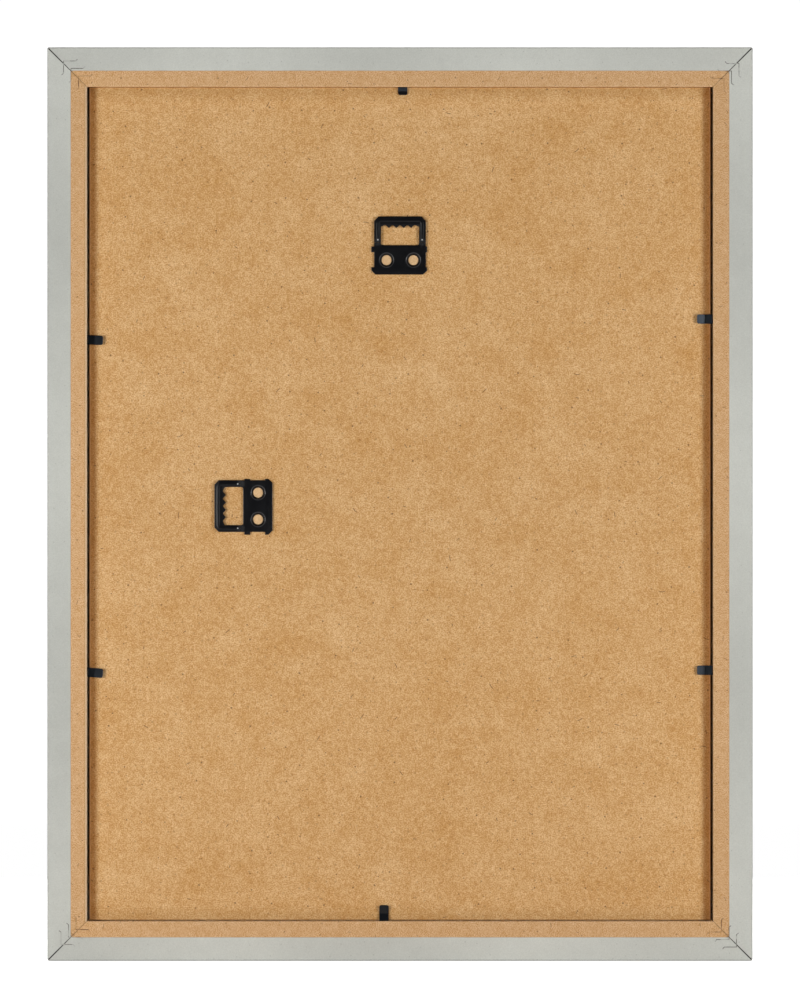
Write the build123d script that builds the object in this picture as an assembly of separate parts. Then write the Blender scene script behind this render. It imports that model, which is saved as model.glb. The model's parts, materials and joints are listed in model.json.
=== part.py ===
from build123d import *
from math import cos, hypot, radians, sin, sqrt, tan
import os

# A picture frame seen from behind: mitred fibreboard rails wrapped in foil, a recessed hardboard back
# held by bendable steel tabs, and two sawtooth hangers. Everything is drawn about the middle of the
# frame's back, with X to the right as seen from behind, Y from the wall to the front and Z up, and is
# moved at the end so that the origin is the nail's seat in the portrait hanger.

# Picture format and rails
picture_width = 300.0
picture_height = 400.0
rabbet_play = 0.5           # room round the picture in the rabbet, on each side
rail_back_width = 19.0      # from a rail's outer edge to its rabbet
lip_width = 6.0             # what the rail reaches over the glass
rail_depth = 16.0
lip_depth = 6.0
back_arris = 0.4            # rounding of the outer edge at the back
front_arris = 1.5           # rounding of the outer edge at the front
sight_arris = 1.0           # rounding of the edge round the picture
rabbet_arris = 0.3          # chamfer on the bare edge of the rabbet
mitre_opening = 0.5         # gap at the outer corner, closing towards the picture
mitre_closed = 4.0          # depth of the front part of the mitre, where it is tight

# Foil
foil_thickness = 0.2
foil_return = 11.3          # how far the foil runs onto the back

# V-nails across the mitres
v_nail_count = 3            # in each corner
v_nail_first = 7.0          # from the outer edges to the first nail's bend
v_nail_step = 3.6
v_nail_aside = 0.6          # off the mitre, the same way round in each corner
v_nail_leg = 6.0
v_nail_end = 1.2            # bent end of a leg
v_nail_end_turn = 50.0
v_nail_thickness = 0.4
v_nail_length = 10.0
v_nail_sink = 0.1           # driven below the rail's back

# What lies in the rabbet
glass_thickness = 2.0
sheet_thickness = 0.3
sheet_trim = 1.0            # cut off each edge of the sheet
board_thickness = 3.0
board_side_gap = 1.15
board_top_gap = 0.15
board_bottom_gap = 0.5
board_arris = 0.3           # worn edge of the board's back

# Flexible tabs
tab_length = 15.0           # driven part and bent part together
tab_width = 4.5
tab_thickness = 0.4
tab_tip_round = 1.0
tab_point = 2.0             # taper of the driven end
tab_root_rise = 1.0         # from the board to the middle of the tab, at the wall
tab_lift = 0.05             # of the crease off the board
tab_tip_slope = 13.0        # of the part beyond the crease
steep_tab_tip_slope = 16.0  # the right upper tab is bent up more
left_tab_lift = 0.55        # the left tabs are pressed down less
left_tab_tip_slope = 7.0
tab_shown = 7.7             # what stands out of the rail
tab_knee = 3.6              # from the wall to the crease
short_tab_shown = 3.9       # the top tab is driven deeper
short_tab_knee = 2.0
top_tab_x = 1.3
bottom_tab_x = -7.7
left_upper_tab_z = 79.0
left_lower_tab_z = -80.8
right_upper_tab_z = 88.9
right_lower_tab_z = -79.9
left_upper_tab_turn = 3.0
left_lower_tab_turn = 5.0

# Sawtooth hangers, stamped from sheet
hanger_thickness = 0.8
hanger_edge = 0.15          # edge rolled over by the punch
loop_width = 24.9
loop_leg = 3.3              # width of the legs beside the window
loop_bar = 4.2              # from the notches' roots to the top edge
loop_corner = 2.1
loop_corner_round = 0.6
loop_lift = 0.25            # clear of the board
notch_count = 5
notch_pitch = 3.55
notch_height = 1.6          # of the V between two teeth, before its root is rounded
notch_round = 0.6
window_height = 9.6         # from the notches' roots to the plate
window_corner = 1.0
window_shoulder = 0.85      # from the roots to where the last notch meets the leg
bend_height = 1.7           # of the bend line above the plate
rib_width = 1.6
rib_crest = 0.7             # flat along the top of the rib
rib_height = 0.3
rib_inset = 1.8             # from the outer edge to the middle of the rib
rib_corner = 1.8
rib_end_height = 2.5        # of the rib's ends above the plate
plate_height = 14.15
plate_corner = 2.0          # bevel under the lower lugs
lug_height = 2.8
lug_left = 1.35             # how far the lugs stand out
lug_right = 0.6
upper_lug_drop = 0.6        # below the plate's top
lower_lug_drop = 10.6
collar_spacing = 12.9
collar_drop = 7.2           # below the plate's top
collar_bore = 2.4           # inner radius
collar_shoulder = 1.1       # from the bore to where the sheet begins to turn down
collar_rim = 0.2            # width of the turned edge, before the cone
collar_rim_drop = 0.1
collar_throat = 0.2         # depth in the board where the cone ends
collar_wall = 0.5
collar_flare = 0.8          # how far the collar's end is spread
flare_height = 0.5
slug_sink = 0.2             # of the slugs below the board's face

# Places of the hangers on the board
portrait_nail_drop = 66.3   # from the board's top edge to the nail
landscape_nail_inset = 64.3
landscape_nail_z = -1.0

# Clearances
bend_clearance = 0.03       # at the round end of a tab or a loop
collar_fit = 0.05

# Sizes that follow
rabbet_width = picture_width + 2 * rabbet_play
rabbet_height = picture_height + 2 * rabbet_play
outer_width = rabbet_width + 2 * rail_back_width
outer_height = rabbet_height + 2 * rail_back_width
face_width = rail_back_width + lip_width
rabbet_depth = rail_depth - lip_depth
glass_back = rabbet_depth - glass_thickness
sheet_back = glass_back - sheet_thickness
board_back = sheet_back - board_thickness
board_width = rabbet_width - 2 * board_side_gap
board_height = rabbet_height - board_top_gap - board_bottom_gap
board_z = (board_bottom_gap - board_top_gap) / 2
window_width = loop_width - 2 * loop_leg
bend_drop = window_height - bend_height
notch_rounded_off = notch_round * (hypot(notch_pitch / 2, notch_height) / (notch_pitch / 2) - 1)
tooth_depth = notch_height - notch_rounded_off
knuckle = hanger_thickness / 2
collar_radius = collar_bore + collar_wall
ring_radius = collar_bore + collar_shoulder
flare_radius = collar_radius + collar_flare
board_top = rabbet_height / 2 - board_top_gap
nail_seat = (0, board_back - loop_lift - knuckle, board_top - portrait_nail_drop)

# Quarter turns that bring the top side to each side
side_turn = {"top": 0, "right": 90, "bottom": 180, "left": -90}

# Quarter turns that bring the top left corner to each corner, and the corner's signs in X and Z
corner_turn = {
    "top_left": (0, -1, 1),
    "top_right": (90, 1, 1),
    "bottom_right": (180, 1, -1),
    "bottom_left": (270, -1, -1),
}

# Each tab's side, its place along that side after the turn, and its turn askew
tab_places = {
    "top": ("top", top_tab_x, 0),
    "bottom": ("bottom", -bottom_tab_x, 0),
    "left_upper": ("left", left_upper_tab_z, left_upper_tab_turn),
    "left_lower": ("left", left_lower_tab_z, left_lower_tab_turn),
    "right_upper": ("right", -right_upper_tab_z, 0),
    "right_lower": ("right", -right_lower_tab_z, 0),
}

# How each tab is bent: length shown, crease, lift of the crease and slope of the tip
tab_bends = {
    "top": (short_tab_shown, short_tab_knee, tab_lift, tab_tip_slope),
    "bottom": (tab_shown, tab_knee, tab_lift, tab_tip_slope),
    "left_upper": (tab_shown, tab_knee, left_tab_lift, left_tab_tip_slope),
    "left_lower": (tab_shown, tab_knee, left_tab_lift, left_tab_tip_slope),
    "right_upper": (tab_shown, tab_knee, tab_lift, steep_tab_tip_slope),
    "right_lower": (tab_shown, tab_knee, tab_lift, tab_tip_slope),
}

# Where each hanger's nail seat lies on the board, and which way its loop points
hanger_places = {
    "portrait": Pos(0, board_back, nail_seat[2]),
    "landscape": Pos(landscape_nail_inset - board_width / 2, board_back, landscape_nail_z)
    * Rot(0, side_turn["left"], 0),
}


def corner_of(outline, point):
    """The corner of a flat outline that is nearest to a point."""
    return outline.vertices().sort_by_distance((*point, 0))[0]


def slab(outline, y_back, depth):
    """An outline in X and Z, thickened towards the front from y_back."""
    return Pos(0, y_back, 0) * extrude(Plane.XZ * outline, -depth)


def rail_section(inset):
    """Section of a rail, depth across and outer edge on top, set in where the foil lies."""
    sight = inset - face_width
    front = rail_depth - inset
    outline = [
        (inset, -inset),
        (inset, -rail_back_width),
        (rabbet_depth, -rail_back_width),
        (rabbet_depth, sight),
        (front, sight),
        (front, -inset),
    ]
    section = make_face(Polyline(*outline, close=True))
    section = fillet(corner_of(section, (inset, -inset)), back_arris - inset)
    section = fillet(corner_of(section, (front, -inset)), front_arris - inset)
    return fillet(corner_of(section, (front, sight)), sight_arris - inset)


def core_section():
    """Fibreboard inside the foil, with its bare band beside the rabbet level with the foil."""
    band_width = rail_back_width - foil_return
    band = Pos(foil_thickness / 2, -foil_return - band_width / 2) * Rectangle(foil_thickness, band_width)
    core = rail_section(foil_thickness) + band
    return chamfer(corner_of(core, (0, -rail_back_width)), rabbet_arris)


def foil_section():
    """Foil from the back, round the outer side and the front, to the edge of the picture."""
    whole = rail_section(0)
    whole = chamfer(corner_of(whole, (0, -rail_back_width)), rabbet_arris)
    return whole - core_section()


def mitre_plan(length, opening):
    """Plan of a rail with mitred ends, set back at the outer corners by their share of an opening."""
    half_outer = length / 2 - opening / sqrt(2)
    half_inner = length / 2 - face_width
    plan = [
        (-half_outer, 0),
        (half_outer, 0),
        (half_inner, -face_width),
        (-half_inner, -face_width),
    ]
    return make_face(Polyline(*plan, close=True))


def mitred(section, side):
    """A section run along one side of the frame, with mitres tight at the front and open at the back."""
    upright = side in ("left", "right")
    length = outer_height if upright else outer_width
    reach = (outer_width if upright else outer_height) / 2
    open_depth = rail_depth - mitre_closed
    bar = extrude(Plane.YZ * section, length / 2, both=True)
    ends = slab(mitre_plan(length, mitre_opening), 0, open_depth)
    ends += slab(mitre_plan(length, 0), open_depth, mitre_closed)
    return Rot(0, side_turn[side], 0) * Pos(0, 0, reach) * (bar & ends)


def v_nail_strip():
    """Outline of a V-nail of the top left corner: legs at a right angle, with their ends bent outwards."""
    turn = radians(v_nail_end_turn)
    along = v_nail_leg + v_nail_end * cos(turn)
    aside = v_nail_end * sin(turn)
    outline = [
        (0, 0),
        (v_nail_leg, 0),
        (along, aside),
        (along + v_nail_thickness * sin(turn), aside - v_nail_thickness * cos(turn)),
        (v_nail_leg + v_nail_thickness * tan(turn / 2), -v_nail_thickness),
        (v_nail_thickness, -v_nail_thickness),
    ]
    leg = make_face(Polyline(*outline, close=True))
    return leg + mirror(leg, Plane((0, 0, 0), z_dir=(1, 1, 0)))


def corner_nails(corner, y_back, depth):
    """V-nails across one mitre, or the slots for them, stepping along it from the outer corner."""
    turn, x_sign, z_sign = corner_turn[corner]
    nail = Rot(0, turn, 0) * Pos(v_nail_aside, 0, v_nail_aside) * slab(v_nail_strip(), y_back, depth)
    nails = []
    for index in range(v_nail_count):
        setback = v_nail_first + index * v_nail_step
        x = x_sign * (outer_width / 2 - setback)
        z = z_sign * (outer_height / 2 - setback)
        nails.append(Pos(x, 0, z) * nail)
    return nails


def on_board_edge(shape, side, along, turn):
    """Brings a tab from the origin, where it points down from the wall, to its place on a side."""
    reach = (rabbet_width if side in ("left", "right") else rabbet_height) / 2
    return Rot(0, side_turn[side], 0) * Pos(along, board_back, reach) * Rot(0, turn, 0) * shape


def tab_proud(turn):
    """How far a shank stands out of the wall, so that a blade turned askew still clears it."""
    return tab_width / 2 * tan(radians(turn))


def tab_shank(name, turn):
    """The driven part of a tab, pointed at its inner end and cut square at the bend."""
    shown, *_ = tab_bends[name]
    half = tab_width / 2
    depth = tab_length - shown
    plan = [
        (-half, -tab_proud(turn)),
        (half, -tab_proud(turn)),
        (half, depth - tab_point),
        (0, depth),
        (-half, depth - tab_point),
    ]
    back = -tab_root_rise - tab_thickness / 2
    return slab(make_face(Polyline(*plan, close=True)), back, tab_thickness)


def tab_blade(name, turn):
    """The bent part of a tab: a round end at the bend, a crease over the board and a lifted tip."""
    shown, knee, lift, slope = tab_bends[name]
    radius = tab_thickness / 2
    reach = shown - radius - knee
    root = Vector(tab_proud(turn) + bend_clearance + radius, tab_root_rise)
    crease = Vector(knee, lift + radius)
    tip = crease + Vector(reach, reach * tan(radians(slope)))
    edge_view = SlotCenterPoint((root + crease) / 2, crease, tab_thickness)
    edge_view += SlotCenterPoint((crease + tip) / 2, tip, tab_thickness)
    side_plane = Plane((0, 0, 0), x_dir=(0, 0, -1), z_dir=(-1, 0, 0))
    strip = extrude(side_plane * edge_view, tab_width / 2, both=True)
    plan = Pos(0, -shown / 2) * Rectangle(tab_width, shown)
    tip_corners = plan.vertices().sort_by(Axis.Y)[:2]
    plan = fillet(tip_corners, tab_tip_round)
    height = max(root.Y, tip.Y) + tab_thickness
    return strip & slab(plan, -height, height)


def hanger_window():
    """The hanger's window, with notches for the nail along its top edge, rounded at their roots."""
    half = window_width / 2
    first = (1 - notch_count) / 2 * notch_pitch
    roots = [(first + index * notch_pitch, notch_rounded_off) for index in range(notch_count)]
    tips = [(x + notch_pitch / 2, -tooth_depth) for x, _ in roots[:-1]]
    zigzag = sorted(roots + tips)
    outline = [(-half, -window_height), (-half, -window_shoulder), *zigzag]
    outline += [(half, -window_shoulder), (half, -window_height)]
    window = make_face(Polyline(*outline, close=True))
    return fillet([corner_of(window, root) for root in roots], notch_round)


def hanger_rib():
    """A bevelled rib that runs up one leg, along the bar and down the other, on the plane y = 0."""
    x = loop_width / 2 - rib_inset
    top = loop_bar - rib_inset
    end = rib_end_height - window_height
    half = rib_width / 2
    half_crest = rib_crest / 2
    outline = [
        (-half, rib_height),
        (-half, 0),
        (-half_crest, -rib_height),
        (half_crest, -rib_height),
        (half, 0),
        (half, rib_height),
    ]
    section = make_face(Polyline(*outline, close=True))
    route = FilletPolyline((-x, end), (-x, top), (x, top), (x, end), radius=rib_corner)
    rib = sweep(Pos(-x, 0, end) * section, path=Plane.XZ * route)
    half_section = section & Pos(half / 2, 0) * Rectangle(half, 4 * rib_height)
    dome = revolve(half_section, Axis.Y)
    return rib + Pos(-x, 0, end) * dome + Pos(x, 0, end) * dome


def hanger_loop():
    """The sawtooth loop above the bend line, with round ends on its legs and an embossed rib."""
    height = loop_bar + bend_drop
    outline = Pos(0, loop_bar - height / 2) * Rectangle(loop_width, height)
    outline = chamfer(outline.vertices().sort_by(Axis.Y)[-2:], loop_corner)
    outline = fillet(outline.vertices().sort_by(Axis.Y)[-4:], loop_corner_round)
    loop = slab(outline, -hanger_thickness, hanger_thickness)
    outer_edges = loop.faces().sort_by(Axis.Y)[0].edges()
    loop = chamfer(outer_edges.sort_by(Axis.Z)[1:], hanger_edge)
    loop -= slab(hanger_window(), -hanger_thickness, hanger_thickness)
    leg_end = Rot(0, 90, 0) * Cylinder(knuckle, loop_leg)
    for sign in (-1, 1):
        loop += Pos(sign * (loop_width - loop_leg) / 2, -knuckle, -bend_drop) * leg_end
    rib = hanger_rib()
    return Pos(0, -loop_lift, 0) * (loop + Pos(0, -hanger_thickness, 0) * rib - rib)


def plate_outline():
    """The plate below the bend line: leg stubs on top and small lugs left on its sides."""
    top = -window_height
    bottom = top - plate_height
    stub_top = -bend_drop - knuckle - bend_clearance
    plate = Pos(0, (top + bottom) / 2) * Rectangle(loop_width, plate_height)
    stub_height = stub_top - top
    for sign in (-1, 1):
        stub = Rectangle(loop_leg, stub_height)
        plate += Pos(sign * (loop_width - loop_leg) / 2, top + stub_height / 2) * stub
    for corner in ((-window_width / 2, top), (window_width / 2, top)):
        plate = fillet(corner_of(plate, corner), min(window_corner, stub_height))
    lug_width = loop_width + lug_left + lug_right
    lug_middle = (lug_right - lug_left) / 2
    foot_height = plate_height - lower_lug_drop
    plate += Pos(lug_middle, top - upper_lug_drop - lug_height / 2) * Rectangle(lug_width, lug_height)
    plate += Pos(lug_middle, bottom + foot_height / 2) * Rectangle(lug_width, foot_height)
    return chamfer(plate.vertices().sort_by(Axis.Y)[:2], plate_corner)


def collar():
    """A collar drawn from the plate, passing through the board and spread at its far end."""
    outline = [
        (ring_radius, -hanger_thickness),
        (ring_radius - collar_rim, collar_rim_drop - hanger_thickness),
        (collar_bore, collar_throat),
        (collar_bore, board_thickness),
        (flare_radius, board_thickness),
        (collar_radius, board_thickness - flare_height),
        (collar_radius, 0),
        (ring_radius, 0),
    ]
    return revolve(make_face(Polyline(*outline, close=True)), Axis.Y)


def collar_spots():
    """Places of the two collars on a hanger, from its nail seat."""
    z = -window_height - collar_drop
    return [Pos(-collar_spacing / 2, 0, z), Pos(collar_spacing / 2, 0, z)]


def hanger_plate():
    """The hanger's plate, flat on the board, with its two collars."""
    plate = slab(plate_outline(), -hanger_thickness, hanger_thickness)
    outer_edges = plate.faces().sort_by(Axis.Y)[0].edges()
    plate = chamfer(outer_edges, hanger_edge)
    hole = slab(Circle(ring_radius), -hanger_thickness, hanger_thickness)
    for spot in collar_spots():
        plate = plate - spot * hole + spot * collar()
    return plate


def board_slug():
    """The round of board left inside a collar."""
    return slab(Circle(collar_bore - collar_fit), slug_sink, board_thickness - slug_sink)


def back_board():
    """The hardboard back, bored and countersunk for the hangers' collars."""
    board = slab(Pos(0, board_z) * Rectangle(board_width, board_height), board_back, board_thickness)
    board = chamfer(board.faces().sort_by(Axis.Y)[0].edges(), board_arris)
    bore_radius = collar_radius + collar_fit
    half_bore = [
        (0, 0),
        (bore_radius, 0),
        (bore_radius, board_thickness - flare_height),
        (flare_radius + collar_fit, board_thickness),
        (0, board_thickness),
    ]
    bore = revolve(make_face(Polyline(*half_bore, close=True)), Axis.Y)
    for place in hanger_places.values():
        for spot in collar_spots():
            board -= place * spot * bore
    return board


def pane(y_back, thickness, trim):
    """A sheet of the picture's format, less a trim along each edge."""
    return slab(Rectangle(picture_width - 2 * trim, picture_height - 2 * trim), y_back, thickness)


nodes = {
    "glass_pane": pane(glass_back, glass_thickness, 0),
    "picture_sheet": pane(sheet_back, sheet_thickness, sheet_trim),
    "back_board": back_board(),
}

nail_slots = []
for corner in corner_turn:
    nodes[f"v_nails_{corner}"] = Compound(corner_nails(corner, v_nail_sink, v_nail_length))
    nail_slots += corner_nails(corner, 0, v_nail_sink + v_nail_length)

shanks = []
for name, (side, along, turn) in tab_places.items():
    shanks.append(on_board_edge(tab_shank(name, turn), side, along, turn))
    nodes[f"tab_{name}"] = on_board_edge(tab_blade(name, turn), side, along, turn)
nodes["tab_shanks"] = Compound(shanks)

for side in side_turn:
    nodes[f"rail_{side}"] = mitred(core_section(), side) - nail_slots - shanks
    nodes[f"foil_{side}"] = mitred(foil_section(), side) - nail_slots

slugs = []
for name, place in hanger_places.items():
    nodes[f"hanger_plate_{name}"] = place * hanger_plate()
    nodes[f"hanger_loop_{name}"] = place * hanger_loop()
    slugs += [place * spot * board_slug() for spot in collar_spots()]
nodes["board_slugs"] = Compound(slugs)

os.makedirs("parts", exist_ok=True)
to_nail_seat = Pos(*(-value for value in nail_seat))
for name, shape in nodes.items():
    export_step(to_nail_seat * shape, f"parts/{name}.step")
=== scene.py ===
import json
from math import cos, pi, radians, sin

import bmesh
import bpy
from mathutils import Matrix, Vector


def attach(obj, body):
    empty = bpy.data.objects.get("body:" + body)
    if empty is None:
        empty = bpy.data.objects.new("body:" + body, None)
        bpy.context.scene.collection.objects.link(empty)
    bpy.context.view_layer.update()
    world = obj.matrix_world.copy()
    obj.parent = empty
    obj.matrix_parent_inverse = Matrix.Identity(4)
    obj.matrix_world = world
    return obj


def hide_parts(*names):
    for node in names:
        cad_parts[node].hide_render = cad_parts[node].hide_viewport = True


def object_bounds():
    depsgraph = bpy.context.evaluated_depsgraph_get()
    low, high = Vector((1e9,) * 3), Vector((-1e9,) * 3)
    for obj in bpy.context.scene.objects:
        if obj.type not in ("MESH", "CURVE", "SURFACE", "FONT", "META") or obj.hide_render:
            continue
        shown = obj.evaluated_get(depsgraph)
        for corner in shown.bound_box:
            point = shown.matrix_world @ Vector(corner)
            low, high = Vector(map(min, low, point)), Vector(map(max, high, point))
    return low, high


# The looks of a picture frame seen from behind: silver foil on fibreboard rails, a hardboard back
# in the recess, black steel tabs and hangers. The finishes are laid out in millimetres of the CAD
# frame. Colours are linear red, green and blue.

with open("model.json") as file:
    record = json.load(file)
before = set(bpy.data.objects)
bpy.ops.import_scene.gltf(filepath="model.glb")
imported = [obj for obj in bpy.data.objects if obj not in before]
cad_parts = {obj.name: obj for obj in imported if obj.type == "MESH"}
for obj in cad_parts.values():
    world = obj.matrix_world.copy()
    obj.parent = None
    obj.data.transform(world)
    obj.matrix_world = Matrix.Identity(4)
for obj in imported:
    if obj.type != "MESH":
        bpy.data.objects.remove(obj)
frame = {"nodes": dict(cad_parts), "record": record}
cad_low, cad_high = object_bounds()

# Places on the frame, in millimetres
MM = 1000.0                 # millimetres in a metre
BACK_Y = MM * cad_low.y
CENTRE_Z = MM * (cad_low.z + cad_high.z) / 2
HALF_WIDTH = MM * cad_high.x
HALF_HEIGHT = MM * (cad_high.z - cad_low.z) / 2
RAIL_WIDTH = 19.0           # from a rail's outer edge to the recess
FOIL_RETURN = 11.3          # from the outer edge to where the foil ends on the back
BOARD_GAP = 1.15            # between the board and the left and right rails
TAB_ZONE = 43.0             # from the outer edge; the tabs lie within it, the hangers further in

# Spots on the hangers by x and z, two on the portrait one and two on the landscape one: the
# middles of the collars, the ends of the ribs and the bends in the loops' legs
COLLARS = ((-6.45, -16.8), (6.45, -16.8), (-68.25, -141.5), (-68.25, -128.6))
RIB_ENDS = ((-10.65, -7.0), (10.65, -7.0), (-78.05, -145.7), (-78.05, -124.4))
LEG_BENDS = ((-10.65, -8.0), (10.65, -8.0), (-76.5, -145.7), (-76.5, -124.4))

# The hangers' pressed sheet, in millimetres
COLLAR_RING = 3.5           # radius where the sheet turns down into a collar
RIB_FLANK_X = -88.0         # outer flank of the landscape one's rib, where the paint is duller
RIB_HEIGHT = 0.3            # of the ribs in the CAD
RIB_SHARE = 0.58            # of that height which the press has raised
EDGE_ROLL = 0.08            # rounding of the edges
ROLL_STEPS = 2              # flats that make up the rounding
HINGE_CLEAR = 0.6           # around a bend line, where edges stay as they are

# Turning the CAD's triangles back into whole faces and finding their edges
MERGE = 0.001               # millimetres
FLAT = 0.5                  # degrees
SHARP = 18.0                # degrees
SMOOTH = 40.0               # degrees
THROUGH = 0.75              # share of an edge's length that runs through the sheet

# The hardboard back and what is left of it in the collars
BOARD_DEEP = (0.441, 0.186, 0.034)
BOARD_PALE = (0.737, 0.495, 0.241)
BOARD_PALE_FIBRE = (0.83, 0.60, 0.33)
BOARD_DARK_SPECK = (0.115, 0.046, 0.012)
BOARD_FAINT_SPECK = (0.270, 0.125, 0.036)
# Painted shade for the ends of the recess and beside its side walls, and a painted highlight for
# the board's side edges
BOARD_END_SHADE = (0.71, 0.72, 0.66)
BOARD_SIDE_SHADE = (0.84, 0.66, 0.45)
BOARD_RIM = (0.60, 0.38, 0.20)
SLUG_DEEP = (0.470, 0.270, 0.110)
SLUG_PALE = (0.860, 0.600, 0.340)

# The fibreboard rails
RAIL_DEEP = (0.424, 0.186, 0.026)
RAIL_PALE = (0.738, 0.506, 0.302)
RAIL_DARK_SPECK = (0.150, 0.064, 0.018)
# Painted shade beside the left rail's arris; the arris colours, painted highlight on the left rail
# and a pale arris elsewhere; painted shade for the mitres under the foil
RAIL_EDGE_SHADE = (0.430, 0.235, 0.100)
ARRIS_DEEP = (0.575, 0.395, 0.215)
ARRIS_PALE = (0.825, 0.645, 0.445)
RAIL_MITRE = (0.020, 0.012, 0.008)

# Both kinds of board
FELT_SPAN = (0.22, 0.78)        # of the felt's noise, from the deepest fibre to the palest
BROWNING = (0.55, 0.95, 1.8)    # how far red, green and blue follow paler and deeper patches

# The foil
FOIL_DEEP = (0.400, 0.406, 0.368)
FOIL_PALE = (0.580, 0.588, 0.544)
FOIL_DUST = (0.27, 0.27, 0.24)
# Painted shade for the outer edge; the cut edge is the foil's own; painted shade for the mitre
# gaps, with a dark seam on the front, and for the foil beside them
FOIL_OUTER_EDGE_SHADE = (0.34, 0.34, 0.31)
FOIL_CUT_EDGE = (0.300, 0.190, 0.105)
FOIL_MITRE = (0.060, 0.052, 0.044)
FOIL_MITRE_SHADE = (0.130, 0.126, 0.112)
UPRIGHT_BANDS = (18.6, 209.0)   # millimetres: a light band's middle above the centre, and pitch
CROSS_BANDS = (62.0, 148.0)     # the same along the top and bottom rails, right of the middle
UPRIGHT_ENDS = (140.0, 215.0)   # millimetres from the centre, over which the uprights get lighter

# The steel tabs, hangers and nails
PAINT_DEEP = (0.0022, 0.0023, 0.0030)
PAINT_PALE = (0.0050, 0.0052, 0.0064)
BLUED_DEEP = (0.036, 0.043, 0.053)
BLUED_PALE = (0.056, 0.066, 0.079)
STEEL_DUST = (0.050, 0.050, 0.053)
# Painted highlights: a thin ring at each collar and a glint at each rib's end
COLLAR_SHINE = (0.075, 0.075, 0.078)
RIB_END_SHINE = (0.70, 0.71, 0.70)
NAIL_DEEP = (0.150, 0.142, 0.128)
NAIL_PALE = (0.280, 0.275, 0.250)
NAIL_UNDER_FOIL = (0.520, 0.525, 0.485)
NAIL_IN_WOOD_DEEP = (0.170, 0.078, 0.030)
NAIL_IN_WOOD_PALE = (0.470, 0.265, 0.112)

# The glass and the paper
GLASS_TINT = (0.992, 0.997, 0.994)
PAPER_DEEP = (0.800, 0.785, 0.740)
PAPER_PALE = (0.880, 0.870, 0.840)

# The floor and the room
WHITE = (1, 1, 1)
BLACK = (0, 0, 0)
FLOOR_GREY = (0.82, 0.82, 0.82)
FLOOR_SIZE = 6.0                # metres
FLOOR_DROP = 0.0002             # metres below the frame's lowest edge
FLOOR_GLOW = 0.8                # how white the floor looks near the frame without the lamps
FLOOR_CLEARS = (200.0, 700.0)   # millimetres from the middle, over which it turns fully white
FLOOR_ENDS = (1500.0, 1600.0)   # millimetres from the middle, over which it stops taking light
ROOM_LIGHT = 0.03               # strength of the white room's light on the frame

# Softboxes: degrees from the line out of the frame's back, metres away, metres above the middle,
# width and height in metres, watts and degrees of spread
GRID_SPREAD = 150.0             # a grid keeps the light off the floor
TOP_SPREAD = 50.0               # the top one lights the frame alone
SOFTBOXES = {
    "left_softbox": (-51.9, 1.25, -0.04, (0.34, 0.34), 6.97, GRID_SPREAD),
    "right_softbox": (53.9, 1.26, -0.04, (0.25, 0.34), 6.19, GRID_SPREAD),
    "front_left_softbox": (-140.0, 1.6, 0.6, (0.8, 0.8), 8.0, GRID_SPREAD),
    "front_right_softbox": (140.0, 1.6, 0.6, (0.8, 0.8), 8.0, GRID_SPREAD),
    "top_softbox": (180.0, 0.5, 1.3, (0.5, 0.3), 0.9, TOP_SPREAD),
}

# Camera
VIEW_DISTANCE = 7.0             # metres
VIEW_HEIGHT = 0.4844            # metres that the picture takes in from top to bottom
SENSOR = 36.0                   # millimetres


class Value:
    """A number that varies over a surface, so that shader sums are written as Python."""

    def __init__(self, finish, socket):
        self.finish = finish
        self.socket = socket

    def sum(self, operation, *terms):
        """The result of a Math node."""
        return self.finish.node("ShaderNodeMath", dict(enumerate(terms)), operation=operation)

    def __add__(self, other):
        return self.sum("ADD", self, other)

    def __radd__(self, other):
        return self.sum("ADD", other, self)

    def __sub__(self, other):
        return self.sum("SUBTRACT", self, other)

    def __rsub__(self, other):
        return self.sum("SUBTRACT", other, self)

    def __mul__(self, other):
        return self.sum("MULTIPLY", self, other)

    def __rmul__(self, other):
        return self.sum("MULTIPLY", other, self)

    def __lt__(self, other):
        return self.sum("LESS_THAN", self, other)

    def __gt__(self, other):
        return self.sum("GREATER_THAN", self, other)

    def __abs__(self):
        return self.sum("ABSOLUTE", self)

    def max(self, other):
        return self.sum("MAXIMUM", self, other)

    def min(self, other):
        return self.sum("MINIMUM", self, other)

    def root(self):
        return self.sum("SQRT", self)

    def cos(self):
        return self.sum("COSINE", self)

    def sin(self):
        return self.sum("SINE", self)

    def rise(self, low, high):
        """0 below low, 1 above high, smooth between; the other way round if low is larger."""
        sockets = {"Value": self, "From Min": low, "From Max": high}
        return self.finish.node("ShaderNodeMapRange", sockets, interpolation_type="SMOOTHSTEP")

    def sway(self, amount):
        """A noise around 0.5 turned into a swing to both sides of zero."""
        return (self - 0.5) * amount


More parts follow.
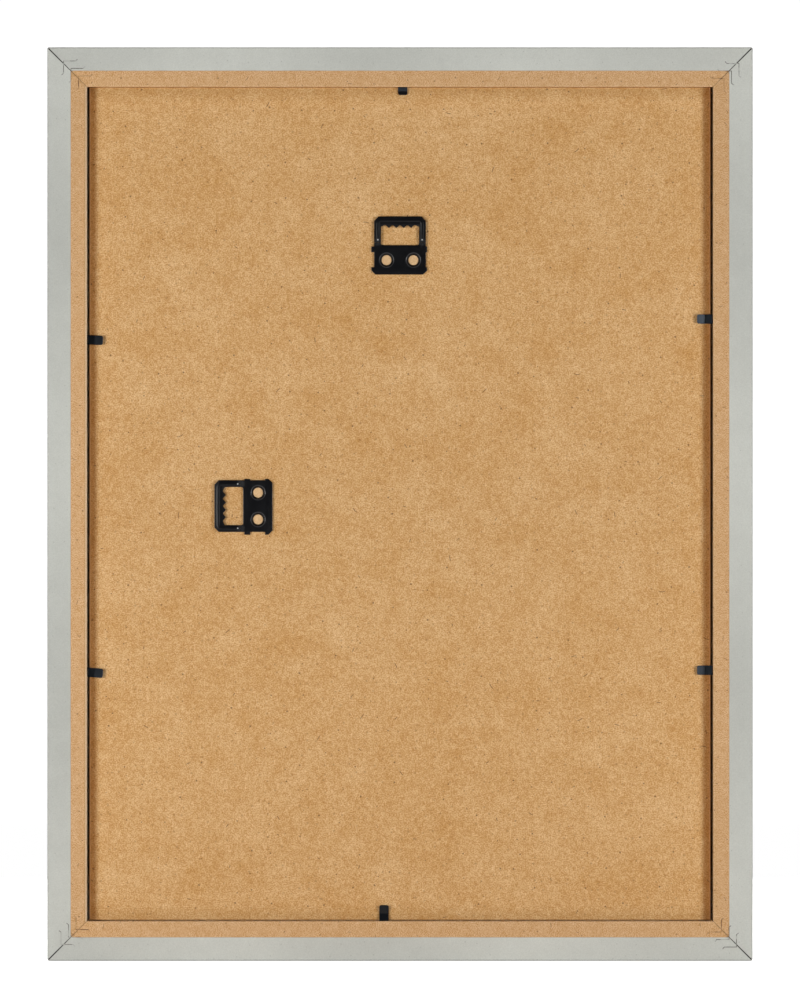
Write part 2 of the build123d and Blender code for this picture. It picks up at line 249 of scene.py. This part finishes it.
class Finish:
    """The nodes of one material, or of the studio, put together from small named steps."""

    def __init__(self, owner):
        owner.use_nodes = True
        self.owner = owner
        self.tree = owner.node_tree
        self.tree.nodes.clear()

    def node(self, kind, sockets=None, out=0, **settings):
        """Adds a node, sets it up, fills or links its sockets and returns the named outputs."""
        made = self.tree.nodes.new(kind)
        for name, setting in settings.items():
            setattr(made, name, setting)
        for name, value in (sockets or {}).items():
            socket = made.inputs[name]
            if isinstance(value, Value):
                self.tree.links.new(value.socket, socket)
            elif socket.type == "RGBA":
                socket.default_value = (*value, 1)
            else:
                socket.default_value = value
        if isinstance(out, tuple):
            return [Value(self, made.outputs[name]) for name in out]
        return Value(self, made.outputs[out]) if made.outputs else None

    def vector(self, operation, sockets):
        """The result of a Vector Math node, for colours and places."""
        return self.node("ShaderNodeVectorMath", sockets, operation=operation)

    def mix(self, first, second, share):
        """A colour between two others."""
        return self.node("ShaderNodeMix", {0: share, 6: first, 7: second}, 2, data_type="RGBA")

    def scaled(self, colour, factor):
        """A colour made lighter or darker."""
        return self.vector("SCALE", {0: colour, "Scale": factor})

    def tinted(self, colour, tint):
        """A colour seen through a tint."""
        return self.vector("MULTIPLY", {0: colour, 1: tint})

    def drifted(self, colour, drift):
        """A board's colour: paler where the drift is above zero, deeper and browner below it."""
        return self.tinted(colour, self.vector("MULTIPLY_ADD", {0: drift, 1: BROWNING, 2: WHITE}))


class Surface(Finish):
    """A material whose pattern is laid out in millimetres of the CAD frame."""

    def __init__(self, name):
        super().__init__(bpy.data.materials.new(name))
        place = self.node("ShaderNodeTexCoord", out="Object")
        self.mm = self.scaled(place, MM)
        self.x, self.y, self.z = self.node("ShaderNodeSeparateXYZ", {0: self.mm}, ("X", "Y", "Z"))

    def grain(self, size, detail=3.0, roughness=0.6, stretch=(1, 1, 1), seed=0.0):
        """Noise with lumps of about the given size, around 0.5."""
        scale = tuple(1 / (size * times) for times in stretch)
        sockets = {
            "Vector": self.node("ShaderNodeMapping", {"Vector": self.mm, "Scale": scale}),
            "W": seed,
            "Scale": 1.0,
            "Detail": detail,
            "Roughness": roughness,
        }
        return self.node("ShaderNodeTexNoise", sockets, "Fac", noise_dimensions="4D")

    def cells(self, cell, seed):
        """A loose grid: distance and offset from each cell's spot, and its own three chances."""
        sockets = {"X": self.x * (1 / cell) + seed, "Y": self.z * (1 / cell) - seed}
        flat = self.node("ShaderNodeCombineXYZ", sockets)
        distance, colour, spot = self.node(
            "ShaderNodeTexVoronoi",
            {"Vector": flat, "Scale": 1.0},
            ("Distance", "Color", "Position"),
            voronoi_dimensions="2D",
        )
        offset = self.vector("SUBTRACT", {0: flat, 1: spot})
        aside, up = self.node("ShaderNodeSeparateXYZ", {0: offset}, ("X", "Y"))
        chances = self.node("ShaderNodeSeparateColor", {0: colour}, ("Red", "Green", "Blue"))
        return distance * cell, aside * cell, up * cell, chances

    def specks(self, cell, radius, share, seed):
        """Small round specks in some cells, of several sizes."""
        distance, _, _, (chance, size, _) = self.cells(cell, seed)
        radius = (size + 0.5) * radius
        return distance.rise(radius, radius * 0.3) * (chance < share)

    def fibres(self, cell, length, width, share, seed):
        """Short curved fibres in some cells, lying in all directions."""
        _, aside, up, (chance, turn, size) = self.cells(cell, seed)
        angle = turn * (2 * pi)
        along = aside * angle.cos() + up * angle.sin()
        bow = along * along * (size - 0.5) * (0.6 / length)
        across = up * angle.cos() - aside * angle.sin() + bow
        half = (size + 0.5) * (length / 2)
        drawn = abs(along).rise(half, half * 0.5) * abs(across).rise(width / 2, width * 0.15)
        return drawn * (chance < share)

    def above_centre(self):
        """How far a point lies above the frame's middle, below it if negative."""
        return self.z - CENTRE_Z

    def from_sides(self):
        """How far a point lies in from the frame's left or right edge."""
        return HALF_WIDTH - abs(self.x)

    def from_ends(self):
        """How far a point lies in from the frame's top or bottom edge."""
        return HALF_HEIGHT - abs(self.above_centre())

    def inset(self):
        """How far a point lies in from the nearest outer edge."""
        return self.from_sides().min(self.from_ends())

    def from_mitre(self):
        """0 on the mitres' diagonals, growing to both sides of them."""
        return abs(self.from_sides() - self.from_ends())

    def on_uprights(self):
        """1 on the left and right rails, 0 on the top and bottom ones."""
        return self.from_sides() < self.from_ends()

    def nearest(self, spots):
        """Distance to the nearest of some spots on the back, each given by x and z."""
        reach = None
        for x, z in spots:
            aside, up = self.x - x, self.z - z
            away = (aside * aside + up * up).root()
            reach = away if reach is None else reach.min(away)
        return reach

    def bump(self, height, depth):
        """Relief whose highest parts stand depth millimetres out of the lowest."""
        sockets = {"Strength": 1.0, "Distance": depth / MM, "Height": height}
        return self.node("ShaderNodeBump", sockets)

    def close(self, shader):
        """Puts a shader on the surface and returns the material."""
        self.node("ShaderNodeOutputMaterial", {"Surface": shader})
        return self.owner

    def shade(self, sockets):
        """Closes the material with the usual shader."""
        return self.close(self.node("ShaderNodeBsdfPrincipled", sockets))


def hardboard():
    """Smooth brown hardboard: felted fibres, cloudy patches, dark specks and stray fibres."""
    s = Surface("hardboard")
    felt = s.grain(size=0.55, detail=2.0, stretch=(1.2, 1, 1))
    flock = s.grain(size=2.4, seed=3.0)
    patch = s.grain(size=13.0, detail=2.0, seed=71.0)
    cloud = s.grain(size=30.0, roughness=0.55, stretch=(1.4, 1, 1), seed=7.0)
    colour = s.mix(BOARD_DEEP, BOARD_PALE, felt.rise(*FELT_SPAN))
    # Painted light: a little lighter towards the top and bottom, evening out the lamps' falloff
    colour = s.scaled(colour, 0.995 + abs(s.above_centre()) * 0.0003)
    colour = s.drifted(colour, flock.sway(0.72) + patch.sway(0.46) + cloud.sway(0.44))

    # Fibres and specks in the sheet
    pale = s.fibres(cell=11.0, length=2.2, width=0.6, share=0.4, seed=2.3)
    colour = s.mix(colour, BOARD_PALE_FIBRE, pale * 0.45)
    dark = s.specks(cell=8.5, radius=0.42, share=0.5, seed=11.7)
    dark = dark.max(s.fibres(cell=21.0, length=2.6, width=0.5, share=0.35, seed=5.1))
    colour = s.mix(colour, BOARD_DARK_SPECK, dark * 0.8)
    faint = s.specks(cell=4.0, radius=0.5, share=0.55, seed=31.3)
    colour = s.mix(colour, BOARD_FAINT_SPECK, faint * 0.45)

    # Painted shade along the ends, more at the top, and brown painted shade beside the side walls,
    # with a paler rim painted as highlight on the side edges
    at_ends = 0.5 + (s.z > CENTRE_Z) * 0.35
    in_recess = s.from_ends() - RAIL_WIDTH
    end_wall_shade = in_recess.rise(9.0, 0.0) * in_recess.rise(0.25, 0.75) * at_ends
    colour = s.mix(colour, s.tinted(colour, BOARD_END_SHADE), end_wall_shade)
    side_wall_shade = (s.from_sides() - RAIL_WIDTH).rise(6.0, 2.5)
    colour = s.mix(colour, s.tinted(colour, BOARD_SIDE_SHADE), side_wall_shade)
    # A paler rim along the side edges: painted highlight where the side lamps catch the board's
    # edge
    rim = s.from_sides() - (RAIL_WIDTH + BOARD_GAP) + flock.sway(0.5)
    colour = s.mix(colour, BOARD_RIM, rim.rise(0.75, 0.35) * 0.5)
    return s.shade({
        "Base Color": colour,
        "Roughness": 0.62 + felt.sway(0.3),
        "Normal": s.bump(felt * 0.6 + flock * 0.4 - dark * 0.5, depth=0.06),
        "Specular IOR Level": 0.3,
    })


def fibreboard():
    """Sawn fibreboard: paler and pinker than the back, with a pale arris along the recess, painted
    as highlight on the left rail.
    """
    s = Surface("fibreboard")
    felt = s.grain(size=0.5, detail=2.0, seed=13.0)
    flock = s.grain(size=2.6, seed=17.0)
    fibre, drift = felt.rise(*FELT_SPAN), flock.sway(0.52)
    colour = s.mix(RAIL_DEEP, RAIL_PALE, fibre)
    # Painted shade: the uprights a little darker and the rails darker to the right, evening out the
    # lamps
    colour = s.scaled(colour, 1.06 - s.on_uprights() * 0.045 - s.x * 0.00010)
    colour = s.drifted(colour, drift)
    dark = s.specks(cell=6.5, radius=0.4, share=0.45, seed=3.9)
    dark = dark.max(s.fibres(cell=12.0, length=2.2, width=0.45, share=0.35, seed=8.2))
    colour = s.mix(colour, RAIL_DARK_SPECK, dark * 0.65)

    # The edge of the recess, with a painted shade band and a painted highlight on the left rail's
    # arris, and the mitres under the foil painted dark as shade
    edge = RAIL_WIDTH - s.inset() + flock.sway(0.4)
    left_rail_lit = s.on_uprights() * (s.x < 0)
    colour = s.mix(colour, RAIL_EDGE_SHADE, edge.rise(1.7, 1.2) * left_rail_lit * 0.4)
    arris = s.drifted(s.mix(ARRIS_DEEP, ARRIS_PALE, fibre), drift)
    colour = s.mix(colour, arris, edge.rise(0.8, 0.45) * (left_rail_lit * 0.85 + 0.15))
    # The mitre faces under the foil painted nearly black: painted shade inside the gaps
    mitre = s.from_mitre().rise(1.2, 1.0) * s.inset().rise(FOIL_RETURN + 0.4, FOIL_RETURN)
    colour = s.mix(colour, RAIL_MITRE, mitre * s.inset().rise(0.05, 0.3))
    return s.shade({
        "Base Color": colour,
        "Roughness": 0.72 + felt.sway(0.2),
        "Normal": s.bump(felt * 0.7 + flock * 0.3 - dark * 0.4, depth=0.06),
        "Specular IOR Level": 0.25,
    })


def silver_foil():
    """Satin silver-grey foil in soft bands, with painted shade along its outer edge and at the
    mitres, ragged where it is cut.
    """
    s = Surface("silver_foil")
    speckle = s.grain(size=0.6, seed=23.0)
    blotch = s.grain(size=9.0, detail=2.0, seed=29.0)
    colour = s.mix(FOIL_DEEP, FOIL_PALE, speckle)

    # Lighter and darker bands along each rail; the uprights painted a little darker on the whole
    # and the foil lighter to the right, as painted shade and light that even out the lamps; the
    # uprights also lighter towards their ends and towards the top
    upright = s.on_uprights()
    middle, pitch = UPRIGHT_BANDS
    bands = ((s.above_centre() - middle) * (2 * pi / pitch)).cos() * upright
    middle, pitch = CROSS_BANDS
    bands = bands + ((s.x - middle) * (2 * pi / pitch)).cos() * (1 - upright)
    ends = abs(s.above_centre()).rise(*UPRIGHT_ENDS) * upright
    lighter = ends * 0.05 - upright * 0.125 + s.x * 0.00015 + bands * 0.068
    lighter = lighter + s.above_centre() * upright * 0.0002
    colour = s.scaled(colour, 1.18 + lighter + blotch.sway(0.14))

    # Dust, painted shade along the outer edge, the brown cut edge on the back, and at the mitres
    # painted shade in the gaps, a dark seam on the front and painted shade beside them on the back
    dust = s.specks(cell=5.5, radius=0.3, share=0.4, seed=19.4)
    colour = s.mix(colour, FOIL_DUST, dust * 0.45)
    inset = s.inset() + speckle.sway(0.8)
    colour = s.mix(colour, FOIL_OUTER_EDGE_SHADE, inset.rise(0.8, 0.2) * 0.6)
    cut = FOIL_RETURN - inset + blotch.sway(0.6)
    on_back = s.y.rise(BACK_Y + 0.4, BACK_Y + 0.3)
    colour = s.mix(colour, FOIL_CUT_EDGE, cut.rise(0.3, 0.05) * on_back * 0.45)
    # Painted shade in the mitre gaps with a dark seam on the front, and painted shade beside the
    # mitres on the back
    mitre = s.from_mitre()
    colour = s.mix(colour, FOIL_MITRE, mitre.rise(0.24, 0.06) * (1 - on_back) * 0.7)
    beside_mitre_shade = mitre.rise(0.6, 0.3) * inset.rise(FOIL_RETURN, 3.0) * on_back
    colour = s.mix(colour, FOIL_MITRE_SHADE, beside_mitre_shade * 0.7)
    return s.shade({
        "Base Color": colour,
        "Metallic": 0.05,
        "Roughness": 0.48 + blotch.sway(0.16),
        "Normal": s.bump(speckle * 0.6 + blotch * 0.4, depth=0.02),
    })


def black_steel():
    """Semi-gloss black paint on the hangers and dark blued steel on the tabs, both dusty, with
    painted highlights on the collars and at the rib ends.
    """
    s = Surface("black_steel")
    peel = s.grain(size=0.6, detail=2.0, seed=37.0)
    haze = s.grain(size=5.0, detail=2.0, seed=41.0)
    dust = s.specks(cell=2.6, radius=0.13, share=0.35, seed=4.4)
    blued = s.inset().rise(TAB_ZONE + 2.0, TAB_ZONE)
    colour = s.mix(PAINT_DEEP, PAINT_PALE, haze)
    colour = s.mix(colour, s.mix(BLUED_DEEP, BLUED_PALE, haze), blued)
    colour = s.mix(colour, STEEL_DUST, dust * 0.5)
    # Painted highlights: a thin ring where the sheet turns down into each collar, and a glint at
    # each rib's end
    ring = abs(s.nearest(COLLARS) - COLLAR_RING)
    colour = s.mix(colour, COLLAR_SHINE, ring.rise(0.22, 0.08) * 0.7)
    colour = s.mix(colour, RIB_END_SHINE, s.nearest(RIB_ENDS).rise(0.48, 0.15) * 0.65)
    dull = s.nearest(LEG_BENDS).rise(1.9, 1.7) * 0.35
    dull = dull + abs(s.x - RIB_FLANK_X).rise(1.3, 0.9) * 0.1
    return s.shade({
        "Base Color": colour,
        "Metallic": blued * 0.95,
        "Roughness": 0.30 + haze.sway(0.12) + dust * 0.2 + dull,
        "Normal": s.bump(peel, depth=0.01),
        "Specular IOR Level": 0.42,
    })


def nail_steel():
    """Dull strip steel, partly covered where the foil has closed over it, brown in the wood."""
    s = Surface("nail_steel")
    film = s.grain(size=1.4, seed=43.0)
    closed = s.grain(size=3.5, detail=1.0, seed=79.0)
    colour = s.mix(NAIL_DEEP, NAIL_PALE, film.rise(0.35, 0.7))
    colour = s.mix(colour, NAIL_UNDER_FOIL, closed.rise(0.48, 0.60) * 0.75)
    brown = s.mix(NAIL_IN_WOOD_DEEP, NAIL_IN_WOOD_PALE, closed.rise(0.36, 0.56))
    in_wood = (s.inset() + film.sway(0.6)).rise(FOIL_RETURN - 0.2, FOIL_RETURN + 0.2)
    colour = s.mix(colour, brown, in_wood)
    return s.shade({
        "Base Color": colour,
        "Metallic": 0.15,
        "Roughness": 0.5 + film.sway(0.3),
        "Normal": s.bump(film, depth=0.02),
    })


def torn_slug():
    """Hardboard inside the collars, paler and rougher where the punch has pressed it."""
    s = Surface("torn_slug")
    felt = s.grain(size=0.6, detail=4.0, roughness=0.7, seed=47.0)
    flock = s.grain(size=1.7, detail=2.0, seed=53.0)
    colour = s.mix(SLUG_DEEP, SLUG_PALE, felt)
    colour = s.scaled(colour, 1 + flock.sway(0.3))
    return s.shade({
        "Base Color": colour,
        "Roughness": 0.75 + felt.sway(0.2),
        "Normal": s.bump(felt * 0.5 + flock * 0.5, depth=0.12),
        "Specular IOR Level": 0.25,
    })


def clear_glass():
    """Clear float glass with a trace of green and faint wipe marks; the lamps shine through it."""
    s = Surface("clear_glass")
    wipe = s.grain(size=60.0, stretch=(1, 1, 0.3), seed=59.0)
    pane = s.node("ShaderNodeBsdfPrincipled", {
        "Base Color": GLASS_TINT,
        "Roughness": 0.02 + wipe.rise(0.4, 0.8) * 0.04,
        "Transmission Weight": 1.0,
        "IOR": 1.5,
    })
    clear = s.node("ShaderNodeBsdfTransparent", {"Color": GLASS_TINT})
    from_lamp = s.node("ShaderNodeLightPath", out="Is Shadow Ray")
    return s.close(s.node("ShaderNodeMixShader", {0: from_lamp, 1: pane, 2: clear}))


def plain_paper():
    """A blank sheet of warm white paper."""
    s = Surface("plain_paper")
    pulp = s.grain(size=1.1, detail=4.0, roughness=0.7, seed=61.0)
    wave = s.grain(size=70.0, detail=1.0, seed=67.0)
    colour = s.mix(PAPER_DEEP, PAPER_PALE, pulp)
    colour = s.scaled(colour, 1 + wave.sway(0.06))
    return s.shade({
        "Base Color": colour,
        "Roughness": 0.85 + pulp.sway(0.1),
        "Normal": s.bump(pulp, depth=0.02),
        "Specular IOR Level": 0.2,
    })


def mix_finishes():
    """One finish for each material slot of the record."""
    return {
        "silver_foil": silver_foil(),
        "fibreboard": fibreboard(),
        "hardboard": hardboard(),
        "hardboard_slug": torn_slug(),
        "black_steel": black_steel(),
        "nail_steel": nail_steel(),
        "glass": clear_glass(),
        "paper": plain_paper(),
    }


def dress_nodes(finishes):
    """Gives every CAD node its finish."""
    for subpart in frame["record"]["subparts"]:
        node = frame["nodes"][subpart["node"]]
        for slot in node.material_slots:
            slot.material = finishes[subpart["material_slot"]]


def join_faces():
    """Turns the opened piece's triangles back into whole faces."""
    bpy.ops.mesh.select_mode(type="EDGE")
    bpy.ops.mesh.select_all(action="SELECT")
    bpy.ops.mesh.remove_doubles(threshold=MERGE / MM)
    bpy.ops.mesh.dissolve_limited(angle_limit=radians(FLAT))
    bpy.ops.mesh.select_all(action="DESELECT")


def roll_edges(piece, body):
    """Rolls over the opened piece's sharp edges, save at its bend and through the sheet."""
    joints = [joint for joint in frame["record"]["behaviour"]["joints"] if joint["child"] == body]
    bends = [(Vector(joint["pos_m"]), Vector(joint["axis"])) for joint in joints]
    shape = bmesh.from_edit_mesh(piece.data)
    for edge in shape.edges:
        along = (edge.verts[1].co - edge.verts[0].co).normalized()
        reach = [(vert.co - spot).cross(axis).length for vert in edge.verts for spot, axis in bends]
        clear = all(length > HINGE_CLEAR / MM for length in reach)
        sharp = edge.calc_face_angle(0) > radians(SHARP)
        edge.select = sharp and abs(along.y) < THROUGH and clear
    bmesh.update_edit_mesh(piece.data)
    roll = EDGE_ROLL / MM
    bpy.ops.mesh.bevel(offset=roll, segments=ROLL_STEPS, affect="EDGES", clamp_overlap=False)
    bpy.ops.mesh.select_all(action="SELECT")
    bpy.ops.mesh.dissolve_degenerate(threshold=MERGE / MM)
    bpy.ops.mesh.select_all(action="DESELECT")


def lower_rib(piece):
    """Brings the opened loop's rib down to the height that the press has raised."""
    shape = bmesh.from_edit_mesh(piece.data)
    sheet = min(vert.co.y for vert in shape.verts) + RIB_HEIGHT / MM
    bpy.ops.mesh.select_mode(type="VERT")
    for vert in shape.verts:
        vert.select = vert.co.y < sheet - MERGE / MM
    bmesh.update_edit_mesh(piece.data)
    bpy.ops.transform.resize(value=(1, RIB_SHARE, 1), center_override=(0, sheet, 0))


def pressed(node, body, finish):
    """A copy of a stamped hanger node whose sharp edges are rolled over, as a press leaves them."""
    bpy.ops.object.select_all(action="DESELECT")
    piece = bpy.data.objects.new("pressed_" + node, frame["nodes"][node].data.copy())
    bpy.context.scene.collection.objects.link(piece)
    piece.select_set(True)
    bpy.context.view_layer.objects.active = piece
    bpy.ops.object.mode_set(mode="EDIT")
    join_faces()
    roll_edges(piece, body)
    if node.startswith("hanger_loop"):
        lower_rib(piece)
    bpy.ops.object.mode_set(mode="OBJECT")
    bpy.ops.object.shade_smooth_by_angle(angle=radians(SMOOTH))
    piece.data.materials.clear()
    piece.data.materials.append(finish)
    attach(piece, body)
    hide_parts(node)


def press_steel(finish):
    """Rolls the edges of the hangers' plates and loops."""
    for body, nodes in frame["record"]["behaviour"]["bodies"].items():
        for node in nodes:
            if node.startswith("hanger_"):
                pressed(node, body, finish)


def lay_floor():
    """A white floor with a painted glow for the camera, weaker near the frame so that the lamps'
    soft shadow under it shows, which fades into the room further out.
    """
    bpy.ops.object.select_all(action="DESELECT")
    height = cad_low.z - FLOOR_DROP
    bpy.ops.mesh.primitive_plane_add(size=FLOOR_SIZE, location=(0, 0, height))
    floor = bpy.context.object
    floor.name = "floor"
    bpy.ops.object.transform_apply(location=True)
    f = Surface("white_floor")
    seen = f.node("ShaderNodeLightPath", out="Is Camera Ray")
    across = (f.x * f.x + f.y * f.y).root()
    # Painted glow for the camera, weaker near the frame
    white = seen * (FLOOR_GLOW + across.rise(*FLOOR_CLEARS) * 0.3)
    floor.data.materials.append(f.shade({
        "Base Color": f.mix(FLOOR_GREY, BLACK, across.rise(*FLOOR_ENDS)),
        "Roughness": 0.9,
        "Specular IOR Level": 0.0,
        "Emission Color": f.mix(BLACK, WHITE, white),
        "Emission Strength": 1.0,
    }))


def hang_light(name, angle, distance, rise, size, power, spread):
    """A gridded softbox turned to the frame's middle."""
    light = bpy.data.lights.new(name, "AREA")
    light.shape = "RECTANGLE"
    light.size, light.size_y = size
    light.energy = power
    light.spread = radians(spread)
    box = bpy.data.objects.new(name, light)
    bpy.context.scene.collection.objects.link(box)
    turn = radians(angle)
    middle = Vector((0, 0, CENTRE_Z / MM))
    box.location = middle + Vector((distance * sin(turn), -distance * cos(turn), rise))
    box.rotation_euler = (middle - box.location).to_track_quat("-Z", "Y").to_euler()
    box.visible_camera = False


def light_studio():
    """Two softboxes behind the frame as in the photograph, three in front and above, a dim room."""
    for name, setup in SOFTBOXES.items():
        hang_light(name, *setup)
    room = Finish(bpy.data.worlds.new("white_room"))
    bpy.context.scene.world = room.owner
    seen = room.node("ShaderNodeLightPath", out="Is Camera Ray")
    light = room.node("ShaderNodeBackground", {"Color": WHITE, "Strength": ROOM_LIGHT + seen})
    room.node("ShaderNodeOutputWorld", {"Surface": light})


def set_camera():
    """A long lens straight behind the frame."""
    lens = bpy.data.cameras.new("camera")
    lens.sensor_width = SENSOR
    lens.lens = SENSOR * VIEW_DISTANCE / VIEW_HEIGHT
    camera = bpy.data.objects.new("camera", lens)
    bpy.context.scene.collection.objects.link(camera)
    camera.location = (0, BACK_Y / MM - VIEW_DISTANCE, CENTRE_Z / MM)
    camera.rotation_euler = (radians(90), 0, 0)
    bpy.context.scene.camera = camera
    bpy.context.scene.view_settings.view_transform = "Standard"


finishes = mix_finishes()
dress_nodes(finishes)
press_steel(finishes["black_steel"])
lay_floor()
light_studio()
set_camera()
